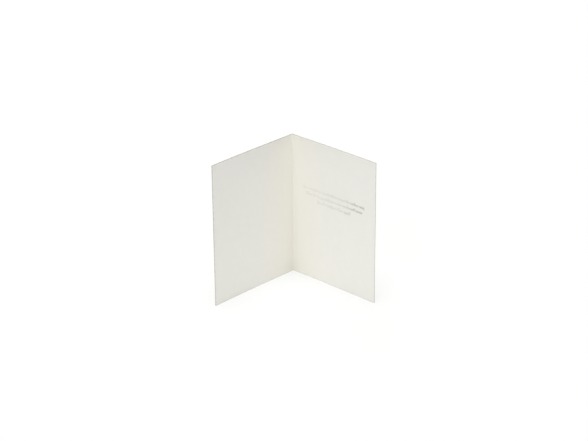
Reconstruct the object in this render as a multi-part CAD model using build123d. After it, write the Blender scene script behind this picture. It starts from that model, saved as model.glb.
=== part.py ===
# A folded greeting card, standing open on its bottom edges.
# The fold is at the back, the leaves come forward along -Y, and the inside of the right leaf
# carries a short verse in stamped foil.
# Millimetres, Z up, with the origin under the middle of the card's box.

import os
from math import cos, radians, sin

from build123d import *

# The sheet
LEAF_WIDTH = 127.0  # from the fold to the fore edge
CARD_HEIGHT = 178.0  # along the fold
STOCK = 0.45  # thickness of the card stock
OPENING_ANGLE = 93.0  # between the two leaves, in degrees

# The fold
SPINE_RADIUS = 0.6  # outside of the fold
BEAD_REACH = 0.55  # how far the score's bead runs up each leaf, inside the fold
BEAD_PROUD = 0.12  # how far the bead stands up between its two feet

# The strokes of the verse
FOIL = 0.05  # thickness of the stamped film
PEN = 0.32  # width of a stroke
X_HEIGHT = 2.2  # from a line's foot to the top of a low turn
RISER = 1.3  # what a tall turn adds above that, and a deep one below the line's foot
STEM_PITCH = 1.3  # from one upright stroke to the next in a word
TURN_CUT = 0.38  # how much of a turn's corner is cut away
SLANT = 0.12  # how far a stroke leans along the line for each unit of its height

# The setting of the verse
WORD_SPACE = 1.9  # clear between two words
LEADING = 7.1  # from one line's foot to the next
FIRST_LINE_UP = 114.9  # the top line's foot, above the bottom edge

# Each word is one wave of the pen, not letters: l is a low turn, t a tall one, and d a low turn
# that comes back down to a deep one.
VERSE = (
    ("tll", "lltll", "ld", "llltl", "tll", "lldll", "tl", "lltll", "lld"),
    ("ltll", "tl", "lldlll", "tlll", "lltl", "ld", "tlllt", "llll"),
    ("tllt", "lld", "tl", "lltll", "dllt"),
)


def leaf_frame(side):
    """Along a leaf, and out of its back, in plan. side is 1 on the right and -1 on the left."""
    half = radians(OPENING_ANGLE / 2)
    return Vector(side * sin(half), -cos(half)), Vector(side * cos(half), sin(half))


def fore_edge(side, offset):
    """A corner of a leaf's fore edge in plan, offset from the sheet's middle towards its back."""
    along, outwards = leaf_frame(side)
    return along * LEAF_WIDTH + outwards * offset


def fold_corner(offset):
    """Where the two leaves' faces meet in plan, offset from the sheet's middle."""
    return Vector(0, offset / sin(radians(OPENING_ANGLE / 2)))


def sheet_plan():
    """The folded sheet in plan, with its rounded spine and the score's bead inside the fold."""
    outside, inside = STOCK / 2, -STOCK / 2
    left_foot, right_foot = [
        fold_corner(inside) + leaf_frame(side)[0] * BEAD_REACH for side in (-1, 1)
    ]
    crown = (left_foot + right_foot) / 2 - Vector(0, BEAD_PROUD)
    outline = [
        Polyline(fore_edge(-1, outside), fold_corner(outside), fore_edge(1, outside)),
        Polyline(fore_edge(1, outside), fore_edge(1, inside), right_foot),
        ThreePointArc(right_foot, crown, left_foot),
        Polyline(left_foot, fore_edge(-1, inside), fore_edge(-1, outside)),
    ]
    sheet = Sketch() + make_face(outline)
    return fillet(sheet.vertices().sort_by(Axis.Y)[-1], SPINE_RADIUS)


def turn_points(word):
    """The points of a word's pen line, from its first foot, with the corners of its turns cut."""
    points = [(0, 0)]
    for place, turn in enumerate(word):
        left = 2 * STEM_PITCH * place
        right = left + STEM_PITCH
        top = X_HEIGHT + (RISER if turn == "t" else 0)
        foot = -RISER if turn == "d" else 0
        points += [(left, top - TURN_CUT), (left + TURN_CUT, top)]
        points += [(right - TURN_CUT, top), (right, top - TURN_CUT)]
        if place == len(word) - 1:
            points += [(right, foot)]
        else:
            next_left = right + STEM_PITCH
            points += [(right, foot + TURN_CUT), (right + TURN_CUT, foot)]
            points += [(next_left - TURN_CUT, foot), (next_left, foot + TURN_CUT)]
    return points


def word_width(word):
    """How much of the line a word takes up at its foot."""
    return (2 * len(word) - 1) * STEM_PITCH + PEN


def line_of_words(words, foot_up):
    """The strokes of one line, centred on the middle of the leaf. x runs along the leaf, y up."""
    length = sum(word_width(word) for word in words) + (len(words) - 1) * WORD_SPACE
    start = (LEAF_WIDTH - length) / 2
    strokes = []
    for word in words:
        first_stem = start + PEN / 2
        pen_line = [(first_stem + x + SLANT * y, foot_up + y) for x, y in turn_points(word)]
        strokes.append(trace(Polyline(*pen_line), PEN))
        start += word_width(word) + WORD_SPACE
    return strokes


def make_card():
    """The folded sheet of card stock."""
    return extrude(sheet_plan(), CARD_HEIGHT, dir=(0, 0, 1))


def make_verse():
    """The foil film of each word, face to face with the inside of the right leaf."""
    along, outwards = leaf_frame(1)
    inside_face = Plane(origin=outwards * (-STOCK / 2), x_dir=along, z_dir=-outwards)
    words = []
    for row, line in enumerate(VERSE):
        for strokes in line_of_words(line, FIRST_LINE_UP - row * LEADING):
            words += extrude(inside_face * strokes, FOIL, dir=-outwards).solids()
    return Compound(words)


def main():
    os.makedirs("parts", exist_ok=True)
    to_origin = Pos(0, -sheet_plan().bounding_box().center().Y)
    export_step(to_origin * make_card(), "parts/card.step")
    export_step(to_origin * make_verse(), "parts/verse_foil.step")


main()
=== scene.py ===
from math import copysign, cos, exp, pi, radians, sin, sqrt, tan

import bpy
from mathutils import Matrix, Vector, noise


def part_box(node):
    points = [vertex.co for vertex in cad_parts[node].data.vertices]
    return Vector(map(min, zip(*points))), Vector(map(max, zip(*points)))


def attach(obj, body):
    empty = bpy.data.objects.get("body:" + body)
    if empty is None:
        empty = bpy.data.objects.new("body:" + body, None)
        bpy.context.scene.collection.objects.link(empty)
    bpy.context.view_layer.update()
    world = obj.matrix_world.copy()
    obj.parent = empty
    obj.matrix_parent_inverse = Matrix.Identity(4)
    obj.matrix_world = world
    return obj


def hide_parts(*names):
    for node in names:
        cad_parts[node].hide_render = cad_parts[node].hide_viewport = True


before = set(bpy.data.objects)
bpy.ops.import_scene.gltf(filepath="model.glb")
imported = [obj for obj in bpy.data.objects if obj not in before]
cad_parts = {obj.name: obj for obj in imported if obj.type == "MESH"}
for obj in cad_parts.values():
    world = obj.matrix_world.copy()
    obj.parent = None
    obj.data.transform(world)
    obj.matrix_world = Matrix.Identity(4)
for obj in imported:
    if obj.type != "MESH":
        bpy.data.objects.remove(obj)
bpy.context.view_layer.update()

# The folded sheet. One piece of ivory card stock, guillotined to size, scored down its middle and
# folded once, so that it stands on its bottom edges. The leaves spring a little, the score leaves
# a bead of raised fibres inside the fold, and the blade and handling blunt the rims and corners.
MM = 0.001
LEAF_WIDTH = 127 * MM
STOCK = 0.45 * MM
HALF_OPENING = radians(93 / 2)
SPINE_RADIUS = 0.6 * MM
BEAD_PROUD = 0.07 * MM
BEAD_WIDTH = 0.42 * MM
BEAD_UNEVEN = 0.5
BEAD_FIBRES = 1.6 * MM
LEAF_BOW = 0.6 * MM
SHOULDER_RISE = 0.35 * MM
SHOULDER_WIDTH = 5 * MM
COCKLE = 0.07 * MM
COCKLE_LENGTH = 55 * MM
COCKLE_FREE = 0.25
RIM_ROUND = 0.06 * MM
CORNER_ROUND = 0.35 * MM
FINEST_STEP = 0.02 * MM
FOLD_STEP = 0.07 * MM
ACROSS_STEP = 4 * MM
UP_STEP = 1.5 * MM
STEP_GROWTH = 1.35

card_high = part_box("card")[1]
CARD_HEIGHT = card_high.z
FOLD_RADIUS = SPINE_RADIUS - STOCK / 2
FOLD_TURN = pi / 2 - HALF_OPENING
FOLD_CENTRE = Vector((0, card_high.y - SPINE_RADIUS, 0))
HALF_SHEET = LEAF_WIDTH - FOLD_RADIUS / tan(HALF_OPENING) + FOLD_RADIUS * FOLD_TURN


def spring(across, up):
    """How far the sheet stands outwards of flat leaves at a place on it."""
    away = abs(across)
    share = away / HALF_SHEET
    bow = 4 * LEAF_BOW * share * (1 - share)
    shoulder = SHOULDER_RISE * (1 - exp(-away / SHOULDER_WIDTH)) * (1 - share) ** 2
    ripple = COCKLE * noise.noise(Vector((across, up, 0)) / COCKLE_LENGTH)
    return bow - shoulder + ripple * min(1, share / COCKLE_FREE)


def on_sheet(across, up, outwards):
    """A point of the sheet: across it from the fold, up it, and outwards from its middle."""
    turn = max(-FOLD_TURN, min(FOLD_TURN, across / FOLD_RADIUS))
    away = Vector((sin(turn), cos(turn), 0))
    beyond = across - turn * FOLD_RADIUS
    along = Vector((cos(turn), -sin(turn), 0))
    place = FOLD_CENTRE + away * (FOLD_RADIUS + outwards + spring(across, up)) + along * beyond
    return place + Vector((0, 0, up))


def stations(length, first_step, last_step, widest_step):
    """Places from 0 to a length, close together at both ends and widening between them."""
    from_ends = []
    for step in (first_step, last_step):
        places = [0]
        while places[-1] + step < length / 2:
            places.append(places[-1] + step)
            step = min(step * STEP_GROWTH, widest_step)
        from_ends.append(places)
    return from_ends[0] + [length - place for place in reversed(from_ends[1])]


half_columns = stations(HALF_SHEET, FOLD_STEP, FINEST_STEP, ACROSS_STEP)
columns = [-place for place in reversed(half_columns[1:])] + half_columns
rows = stations(CARD_HEIGHT, FINEST_STEP, FINEST_STEP, UP_STEP)
LAYERS = 3


def blunted(across, up):
    """A place on the sheet, drawn in where it is in one of the four corners."""
    near_side = max(0, 1 - (HALF_SHEET - abs(across)) / CORNER_ROUND)
    near_end = max(0, 1 - min(up, CARD_HEIGHT - up) / CORNER_ROUND)
    side_in = near_side * (1 - sqrt(1 - near_end ** 2 / 2)) * CORNER_ROUND
    end_in = near_end * (1 - sqrt(1 - near_side ** 2 / 2)) * CORNER_ROUND
    across -= copysign(side_in, across)
    return across, up + (end_in if up < CARD_HEIGHT / 2 else -end_in)


def sheet_corner(column, row, layer):
    """A mesh point of the sheet, whose layers run from the inside face to the outside one."""
    across, up = columns[column], rows[row]
    rim = min(HALF_SHEET - abs(across), up, CARD_HEIGHT - up)
    across, up = blunted(across, up)
    cut_back = RIM_ROUND - min(rim, RIM_ROUND)
    half_stock = STOCK / 2 - RIM_ROUND + sqrt(RIM_ROUND ** 2 - cut_back ** 2)
    outwards = half_stock * (2 * layer / (LAYERS - 1) - 1)
    if layer == 0:
        fibres = 1 + BEAD_UNEVEN * noise.noise(Vector((across, up, 0)) / BEAD_FIBRES)
        outwards -= BEAD_PROUD * exp(-(across / BEAD_WIDTH) ** 2) * fibres
    return on_sheet(across, up, outwards)


def box_skin(counts, corner):
    """The skin of a block of points: points, faces, the axis each face looks along, and index."""
    index, points, faces, looks_along = {}, [], [], []

    def vertex(key):
        if key not in index:
            index[key] = len(points)
            points.append(corner(*key))
        return index[key]

    for axis in range(3):
        first, second = [other for other in range(3) if other != axis]
        for end in (0, counts[axis] - 1):
            for a in range(counts[first] - 1):
                for b in range(counts[second] - 1):
                    ring = []
                    for step_a, step_b in ((0, 0), (1, 0), (1, 1), (0, 1)):
                        key = [0, 0, 0]
                        key[axis], key[first], key[second] = end, a + step_a, b + step_b
                        ring.append(vertex(tuple(key)))
                    if (end == 0) == (axis != 1):
                        ring.reverse()
                    faces.append(ring)
                    looks_along.append(axis)
    return points, faces, looks_along, index


def new_piece(name, points, faces, materials):
    """A smooth-shaded mesh piece in the frame's own coordinates."""
    mesh = bpy.data.meshes.new(name)
    mesh.from_pydata([tuple(point) for point in points], [], faces)
    mesh.shade_smooth()
    for material in materials:
        mesh.materials.append(material)
    piece = bpy.data.objects.new(name, mesh)
    bpy.context.scene.collection.objects.link(piece)
    return piece


def linear(hex_colour):
    """An sRGB hex colour as linear red, green, blue and alpha."""
    shares = [int(hex_colour[place:place + 2], 16) / 255 for place in (1, 3, 5)]
    return [s / 12.92 if s <= 0.04045 else ((s + 0.055) / 1.055) ** 2.4 for s in shares] + [1]


def add(tree, kind, settings=None, **inputs):
    """A node with its settings, and its inputs set or linked. An input goes by its name, with _
    for a space, or by its number after _, as where a node has several of the same name."""
    node = tree.nodes.new(kind)
    for name, value in (settings or {}).items():
        setattr(node, name, value)
    for name, value in inputs.items():
        name = name.replace("_", " ").strip()
        socket = node.inputs[int(name) if name.isdigit() else name]
        if isinstance(value, bpy.types.NodeSocket):
            tree.links.new(value, socket)
        else:
            socket.default_value = value
    return node


def new_material(name):
    """A material with an empty node tree."""
    material = bpy.data.materials.new(name)
    material.use_nodes = True
    material.node_tree.nodes.clear()
    return material, material.node_tree


# Uncoated ivory card stock, pressed smooth on felt. It gives the eye a matte, faintly cloudy cream
# with a fine tooth. Towards the fold it is painted warmer, as painted bounce light between the
# leaves, and along the crease a darker band is stretched-fibre streaks and painted crease shade.
# The rims carry an uneven painted shade line, broader on the left leaf.
STOCK_PALE = "#ebeae6"
STOCK_DEEP = "#e8e7e1"
STOCK_ROUGHNESS = 0.88
STOCK_SHEEN = 0.25
CLOUD_SIZE = 9 * MM
TOOTH_SIZE = 0.45 * MM  # the real one is about 0.2 mm, too fine to show
TOOTH_DEPTH = 0.045 * MM
FIBRE_LENGTH = 2.5 * MM
FIBRE_WIDTH = 0.16 * MM  # the real one is about 0.03 mm, too fine to show
FIBRE_SHARE = 0.4
RIM_MOTTLE_SIZE = 2.0 * MM
# painted bounce light: a warmer tint towards the fold in place of light thrown between the leaves
PAINTED_FOLD_BOUNCE = "#eceae2"
FOLD_BOUNCE_SWAY = 24 * MM
FOLD_BOUNCE_REACH = (20 * MM, 72 * MM)
# stretched-fibre streaks together with painted crease shade: a darker band along the score
SCORE_FIBRES_AND_SHADE = "#e7e5de"
SCORE_SWAY = 1.1 * MM
SCORE_REACH = (0.28 * MM, 1.1 * MM)
# painted shade along the rims: an uneven dark line, reaching further in on the left leaf
RIM_SHADE = "#b2afa4"
RIM_SWAY = 1.1 * MM
RIM_REACH = (0.15 * MM, 1.4 * MM)
LEFT_RIM_SHADE_SPREAD = 1.8


def ivory_stock():
    material, tree = new_material("ivory_card_stock")
    place = add(tree, "ShaderNodeTexCoord").outputs["Object"]
    stretched = add(
        tree, "ShaderNodeMapping", Vector=place,
        Scale=(1 / FIBRE_WIDTH, 1 / FIBRE_WIDTH, 1 / FIBRE_LENGTH),
    )
    fibres = add(tree, "ShaderNodeTexNoise", Vector=stretched.outputs["Vector"], Scale=1.0)
    cloud = add(tree, "ShaderNodeTexNoise", Vector=place, Scale=1 / CLOUD_SIZE, Detail=3.0)
    rim_mottle = add(tree, "ShaderNodeTexNoise", Vector=place, Scale=1 / RIM_MOTTLE_SIZE, Detail=3.0)
    tooth = add(tree, "ShaderNodeTexNoise", Vector=place, Scale=1 / TOOTH_SIZE, Detail=4.0)
    from_score = add(tree, "ShaderNodeAttribute", {"attribute_name": "from_score"}).outputs["Fac"]
    from_rim = add(tree, "ShaderNodeAttribute", {"attribute_name": "from_rim"}).outputs["Fac"]
    tone = add(
        tree, "ShaderNodeMix", {"data_type": "RGBA"},
        _0=cloud.outputs["Fac"], _6=linear(STOCK_PALE), _7=linear(STOCK_DEEP),
    )
    # tones laid over the stock by distance: painted bounce light near the fold, stretched fibres
    # with painted shade at the crease, painted shade at the rims
    for grain, distance, sway, (near, far), shade in (
        (cloud, from_score, FOLD_BOUNCE_SWAY, FOLD_BOUNCE_REACH, PAINTED_FOLD_BOUNCE),
        (fibres, from_score, SCORE_SWAY, SCORE_REACH, SCORE_FIBRES_AND_SHADE),
        (rim_mottle, from_rim, RIM_SWAY, RIM_REACH, RIM_SHADE),
    ):
        swayed = add(
            tree, "ShaderNodeMath", {"operation": "MULTIPLY_ADD"},
            _0=grain.outputs["Fac"], _1=sway, _2=distance,
        )
        share = add(
            tree, "ShaderNodeMapRange", {"interpolation_type": "SMOOTHSTEP"},
            _0=swayed.outputs["Value"], _1=near, _2=far, _3=1.0, _4=0.0,
        )
        tone = add(
            tree, "ShaderNodeMix", {"data_type": "RGBA"},
            _0=share.outputs["Result"], _6=tone.outputs[2], _7=linear(shade),
        )
    relief = add(
        tree, "ShaderNodeMath", {"operation": "MULTIPLY_ADD"},
        _0=fibres.outputs["Fac"], _1=FIBRE_SHARE, _2=tooth.outputs["Fac"],
    )
    bump = add(tree, "ShaderNodeBump", Height=relief.outputs["Value"], Distance=TOOTH_DEPTH)
    surface = add(
        tree, "ShaderNodeBsdfPrincipled", Base_Color=tone.outputs[2],
        Roughness=STOCK_ROUGHNESS, Specular_IOR_Level=STOCK_SHEEN, Normal=bump.outputs["Normal"],
    )
    add(tree, "ShaderNodeOutputMaterial", Surface=surface.outputs["BSDF"])
    return material


# The guillotined edge of the same stock, with the board's plies of fibre end on in fine streaks
# along the cut. The grey of the fibre ends is deepened into painted edge shade: a dull grey-brown
# line, far darker than the face.
# painted edge shade: both tones are far darker than the stock's own colour
EDGE_SHADE_PALE = "#aeab9f"
EDGE_SHADE_DEEP = "#8b887c"
PLY_LENGTH = 6 * MM
PLY_HEIGHT = 0.09 * MM
PLY_DEPTH = 0.02 * MM
EDGE_ROUGHNESS = 0.95
EDGE_SHEEN = 0.2


def cut_edge():
    material, tree = new_material("guillotined_card_edge")
    ply_place = add(tree, "ShaderNodeAttribute", {"attribute_name": "ply_place"})
    plies = add(
        tree, "ShaderNodeTexNoise", Vector=ply_place.outputs["Vector"], Scale=1.0, Detail=3.0
    )
    tone = add(
        tree, "ShaderNodeMix", {"data_type": "RGBA"},
        _0=plies.outputs["Fac"], _6=linear(EDGE_SHADE_PALE), _7=linear(EDGE_SHADE_DEEP),
    )
    bump = add(tree, "ShaderNodeBump", Height=plies.outputs["Fac"], Distance=PLY_DEPTH)
    surface = add(
        tree, "ShaderNodeBsdfPrincipled", Base_Color=tone.outputs[2],
        Roughness=EDGE_ROUGHNESS, Specular_IOR_Level=EDGE_SHEEN, Normal=bump.outputs["Normal"],
    )
    add(tree, "ShaderNodeOutputMaterial", Surface=surface.outputs["BSDF"])
    return material


sheet_points, sheet_faces, looks_along, sheet_index = box_skin(
    (len(columns), len(rows), LAYERS), sheet_corner
)
card_sheet = new_piece("card_sheet", sheet_points, sheet_faces, [ivory_stock(), cut_edge()])
for polygon, axis in zip(card_sheet.data.polygons, looks_along):
    polygon.material_index = 0 if axis == 2 else 1
from_rim = card_sheet.data.attributes.new("from_rim", "FLOAT", "POINT")
from_score = card_sheet.data.attributes.new("from_score", "FLOAT", "POINT")
ply_place = card_sheet.data.attributes.new("ply_place", "FLOAT_VECTOR", "POINT")
for (column, row, layer), vertex in sheet_index.items():
    across, up = columns[column], rows[row]
    # the painted rim shade reaches further in on the left leaf
    rim_shade_spread = LEFT_RIM_SHADE_SPREAD if across < 0 else 1
    from_shaded_rims = min(HALF_SHEET - abs(across), CARD_HEIGHT - up) / rim_shade_spread
    from_rim.data[vertex].value = min(from_shaded_rims, up)
    from_score.data[vertex].value = abs(across)
    ply_place.data[vertex].vector = (
        across / PLY_LENGTH, up / PLY_LENGTH, layer * STOCK / (LAYERS - 1) / PLY_HEIGHT
    )
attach(card_sheet, "root")
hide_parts("card")

# The verse. Silver foil, stamped with a hot brass die on the inside of the right leaf in three
# centred lines. Waves of a broad pen, heavier towards the fore edge, stand in for its words: l is a
# low turn, t a tall one, and d a low turn that comes back down to a deep one.
PEN = 0.32 * MM
FOIL = 0.05 * MM
X_HEIGHT = 2.2 * MM
RISER = 1.3 * MM
STEM_PITCH = 1.3 * MM
SLANT = 0.12
WORD_SPACE = 1.9 * MM
LEADING = 7.1 * MM
FIRST_LINE_UP = 114.9 * MM
TURN_STEPS = 8
PEN_THIN = 0.62
PEN_SWELL = 0.5
LIGHTEST_PEN = 0.9
HEAVIEST_PEN = 1.34
FILM_BEVEL = 0.05 * MM
VERSE = (
    ("tll", "lltll", "ld", "llltl", "tll", "lldll", "tl", "lltll", "lld"),
    ("ltll", "tl", "lldlll", "tlll", "lltl", "ld", "tlllt", "llll"),
    ("tllt", "lld", "tl", "lltll", "dllt"),
)


def pen_line(word):
    """The middle of a word's stroke, from its first foot, with round turns."""
    radius = STEM_PITCH / 2
    turn_angles = [pi * step / TURN_STEPS for step in range(TURN_STEPS + 1)]
    points = [(0, 0)]
    for place, turn in enumerate(word):
        left = 2 * STEM_PITCH * place
        crown = X_HEIGHT + (RISER if turn == "t" else 0) - radius
        trough = (-RISER if turn == "d" else 0) + radius
        for angle in turn_angles:
            points.append((left + radius * (1 - cos(angle)), crown + radius * sin(angle)))
        left += STEM_PITCH
        if place == len(word) - 1:
            points.append((left, trough - radius))
            break
        for angle in turn_angles:
            points.append((left + radius * (1 - cos(angle)), trough - radius * sin(angle)))
    return [Vector((x + SLANT * y, y)) for x, y in points]


def add_stroke(points, faces, line):
    """A flat-topped ribbon of foil along a line on the leaf, broad on stems and thin on turns."""
    first = len(points)
    profile = ((-1, 0, 0), (-1, FILM_BEVEL, FOIL), (1, -FILM_BEVEL, FOIL), (1, 0, 0))
    for place, middle in enumerate(line):
        ahead = line[min(place + 1, len(line) - 1)] - line[max(place - 1, 0)]
        ahead.normalize()
        across = Vector((-ahead.y, ahead.x))
        weight = LIGHTEST_PEN + (HEAVIEST_PEN - LIGHTEST_PEN) * middle.x / LEAF_WIDTH
        half_pen = PEN / 2 * (PEN_THIN + PEN_SWELL * abs(ahead.y)) * weight
        for side, inset, proud in profile:
            spot = middle + across * (side * half_pen + inset)
            points.append(on_sheet(spot.x, spot.y, -STOCK / 2 - proud))
    size = len(profile)
    for place in range(len(line) - 1):
        near = first + place * size
        for edge in range(size):
            beside = (edge + 1) % size
            faces.append((near + edge, near + beside, near + size + beside, near + size + edge))
    last = first + (len(line) - 1) * size
    faces.append([first + edge for edge in reversed(range(size))])
    faces.append([last + edge for edge in range(size)])


# Hot-stamped silver foil on uncoated card. It gives the eye a soft grey metal, broken up by the
# tooth of the paper. Its cover is a painted reflection: thin and patchy towards the fold, where
# bare paper shows through, and whole towards the fore edge.
FOIL_SILVER = "#7e7e7a"
FOIL_ROUGHNESS = 0.34
SPECK_SIZE = 0.35 * MM  # coarser than the real tooth, as that is too fine to show
SPECK_SOFTNESS = 0.1
# painted reflection: the foil's cover by share of the way across the leaf
REFLECTION_COVER_BY_REACH = ((0.15, 0.45), (0.50, 0.48), (0.60, 0.49), (0.70, 0.58), (0.78, 0.85))


def painted_reflection_cover(reach):
    """How much of the paper's tooth the film covers at a share of the way across the leaf: a
    painted reflection, thin towards the fold and whole towards the fore edge.
    """
    for (near, low), (far, high) in zip(REFLECTION_COVER_BY_REACH, REFLECTION_COVER_BY_REACH[1:]):
        if reach < far:
            return low + (high - low) * max(0, reach - near) / (far - near)
    return REFLECTION_COVER_BY_REACH[-1][1]


def silver_foil():
    material, tree = new_material("silver_stamping_foil")
    place = add(tree, "ShaderNodeTexCoord").outputs["Object"]
    tooth = add(tree, "ShaderNodeTexNoise", Vector=place, Scale=1 / SPECK_SIZE, Detail=2.0)
    reflection_cover = add(tree, "ShaderNodeAttribute", {"attribute_name": "painted_reflection_cover"})
    above = add(
        tree, "ShaderNodeMath", {"operation": "SUBTRACT"},
        _0=reflection_cover.outputs["Fac"], _1=tooth.outputs["Fac"],
    )
    cover = add(
        tree, "ShaderNodeMapRange", {"interpolation_type": "SMOOTHSTEP"},
        _0=above.outputs["Value"], _1=-SPECK_SOFTNESS, _2=SPECK_SOFTNESS, _3=0.0, _4=1.0,
    )
    tone = add(
        tree, "ShaderNodeMix", {"data_type": "RGBA"},
        _0=cover.outputs["Result"], _6=linear(STOCK_PALE), _7=linear(FOIL_SILVER),
    )
    roughness = add(
        tree, "ShaderNodeMapRange",
        _0=cover.outputs["Result"], _1=0.0, _2=1.0, _3=STOCK_ROUGHNESS, _4=FOIL_ROUGHNESS,
    )
    bump = add(tree, "ShaderNodeBump", Height=tooth.outputs["Fac"], Distance=TOOTH_DEPTH / 2)
    surface = add(
        tree, "ShaderNodeBsdfPrincipled", Base_Color=tone.outputs[2],
        Metallic=cover.outputs["Result"], Roughness=roughness.outputs["Result"],
        Normal=bump.outputs["Normal"],
    )
    add(tree, "ShaderNodeOutputMaterial", Surface=surface.outputs["BSDF"])
    return material


foil = silver_foil()
for number, words in enumerate(VERSE):
    widths = [(2 * len(word) - 1) * STEM_PITCH + PEN for word in words]
    start = (LEAF_WIDTH - sum(widths) - (len(words) - 1) * WORD_SPACE) / 2
    foot = FIRST_LINE_UP - number * LEADING
    stroke_points, stroke_faces = [], []
    for word, width in zip(words, widths):
        first_stem = Vector((start + PEN / 2, foot))
        add_stroke(stroke_points, stroke_faces, [first_stem + spot for spot in pen_line(word)])
        start += width + WORD_SPACE
    verse_line = new_piece(f"verse_line_{number + 1}", stroke_points, stroke_faces, [foil])
    # the foil's cover across the leaf is a painted reflection, thin towards the fold
    reflection_cover = verse_line.data.attributes.new("painted_reflection_cover", "FLOAT", "POINT")
    for vertex, point in enumerate(stroke_points):
        reflection_cover.data[vertex].value = painted_reflection_cover((point - FOLD_CENTRE).xy.length / LEAF_WIDTH)
    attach(verse_line, "root")
    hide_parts("verse_foil")

# The surface that the card stands on: a seamless sheet of white board, much wider than the view.
# To the eye and in the foil it is partly lit from below, like a light table, at the level where it
# shows as white, so that the card's shadow on it is pale.
FLOOR_HALF = 6.0
FLOOR_SEEN = "#e6e6e4"
FLOOR_THROWN = "#f0f0ee"
FLOOR_GLOW = 0.6
PURE_WHITE = "#ffffff"


def seen_rays(tree):
    """1 for the rays that show a surface to the eye, straight or in metal or glass, else 0."""
    path = add(tree, "ShaderNodeLightPath").outputs
    shown = path["Is Camera Ray"]
    for other in (path["Is Glossy Ray"], path["Is Transmission Ray"]):
        either = add(tree, "ShaderNodeMath", {"operation": "MAXIMUM"}, _0=shown, _1=other)
        shown = either.outputs["Value"]
    return shown


floor_corners = [
    (x * FLOOR_HALF, y * FLOOR_HALF, 0) for x, y in ((-1, -1), (1, -1), (1, 1), (-1, 1))
]
floor_mesh = bpy.data.meshes.new("floor")
floor_mesh.from_pydata(floor_corners, [], [(0, 1, 2, 3)])
floor = bpy.data.objects.new("floor", floor_mesh)
bpy.context.scene.collection.objects.link(floor)
floor_board, board_tree = new_material("white_board")
board_tone = add(
    board_tree, "ShaderNodeMix", {"data_type": "RGBA"},
    _0=seen_rays(board_tree), _6=linear(FLOOR_THROWN), _7=linear(FLOOR_SEEN),
)
board = add(board_tree, "ShaderNodeBsdfDiffuse", Color=board_tone.outputs[2])
glow = add(board_tree, "ShaderNodeEmission", Color=linear(PURE_WHITE), Strength=1.0)
glow_share = add(
    board_tree, "ShaderNodeMath", {"operation": "MULTIPLY"},
    _0=seen_rays(board_tree), _1=FLOOR_GLOW,
)
lit_board = add(
    board_tree, "ShaderNodeMixShader",
    _0=glow_share.outputs["Value"], _1=board.outputs["BSDF"], _2=glow.outputs["Emission"],
)
add(board_tree, "ShaderNodeOutputMaterial", Surface=lit_board.outputs["Shader"])
floor_mesh.materials.append(floor_board)

# The light: three broad soft lamps in an evenly lit room that shows as white. The one overhead
# fills the floor, which throws its light back up the card. One stands low in front, a little to the
# left, and a weaker one behind, to the left too, so that the two outsides differ in tone.
ROOM_LEVEL = 0.3
LAMPS = {  # how strong each is, how high, how far round to the left of the front, and how broad
    "overhead": (0.76, radians(85), 0, radians(40)),
    "front": (0.3, radians(20), radians(20), radians(80)),
    "behind": (0.2, radians(40), radians(150), radians(60)),
}
world = bpy.data.worlds.new("white_room")
bpy.context.scene.world = world
world.use_nodes = True
room_tree = world.node_tree
room_tree.nodes.clear()
room_level = add(
    room_tree, "ShaderNodeMapRange",
    _0=seen_rays(room_tree), _1=0.0, _2=1.0, _3=ROOM_LEVEL, _4=1.0,
)
room = add(
    room_tree, "ShaderNodeBackground",
    Color=linear(PURE_WHITE), Strength=room_level.outputs["Result"],
)
add(room_tree, "ShaderNodeOutputWorld", Surface=room.outputs["Background"])
for name, (level, rise, turn, spread) in LAMPS.items():
    lamp_light = bpy.data.lights.new(name, "SUN")
    lamp_light.energy = level * pi
    lamp_light.angle = spread
    lamp = bpy.data.objects.new(name, lamp_light)
    lamp_from = Vector((-sin(turn) * cos(rise), -cos(turn) * cos(rise), sin(rise)))
    lamp.rotation_euler = lamp_from.to_track_quat("Z", "Y").to_euler()
    bpy.context.scene.collection.objects.link(lamp)

# The view: from in front of the opening and above it, through a long lens.
IMAGE_WIDTH, IMAGE_HEIGHT = 588, 441
SENSOR = 36
FOCAL_PIXELS = 1856
VIEW_DISTANCE = 2.153
VIEW_TURN = radians(-1.11)
VIEW_RISE = radians(25.90)
VIEW_ROLL = radians(-0.44)
CARD_AT = (293.65, 219.06)
NEAREST_SEEN, FARTHEST_SEEN = 0.1, 50
camera_data = bpy.data.cameras.new("camera")
camera_data.sensor_width = SENSOR
camera_data.lens = SENSOR * FOCAL_PIXELS / IMAGE_WIDTH
camera = bpy.data.objects.new("camera", camera_data)
bpy.context.scene.collection.objects.link(camera)
bpy.context.scene.camera = camera
back = Vector((sin(VIEW_TURN) * cos(VIEW_RISE), -cos(VIEW_TURN) * cos(VIEW_RISE), sin(VIEW_RISE)))
level_right = Vector((cos(VIEW_TURN), sin(VIEW_TURN), 0))
level_up = back.cross(level_right)
right = level_right * cos(VIEW_ROLL) + level_up * sin(VIEW_ROLL)
upwards = level_up * cos(VIEW_ROLL) - level_right * sin(VIEW_ROLL)
pixel = VIEW_DISTANCE / FOCAL_PIXELS
aside = right * (IMAGE_WIDTH / 2 - CARD_AT[0]) * pixel
below = upwards * (CARD_AT[1] - IMAGE_HEIGHT / 2) * pixel
card_middle = Vector((0, 0, CARD_HEIGHT / 2))
camera_place = Matrix.Translation(card_middle + back * VIEW_DISTANCE + aside + below)
camera.matrix_world = camera_place @ Matrix((right, upwards, back)).transposed().to_4x4()
camera_data.clip_start = NEAREST_SEEN
camera_data.clip_end = FARTHEST_SEEN

bpy.context.scene.view_settings.view_transform = "Standard"
bpy.context.view_layer.update()
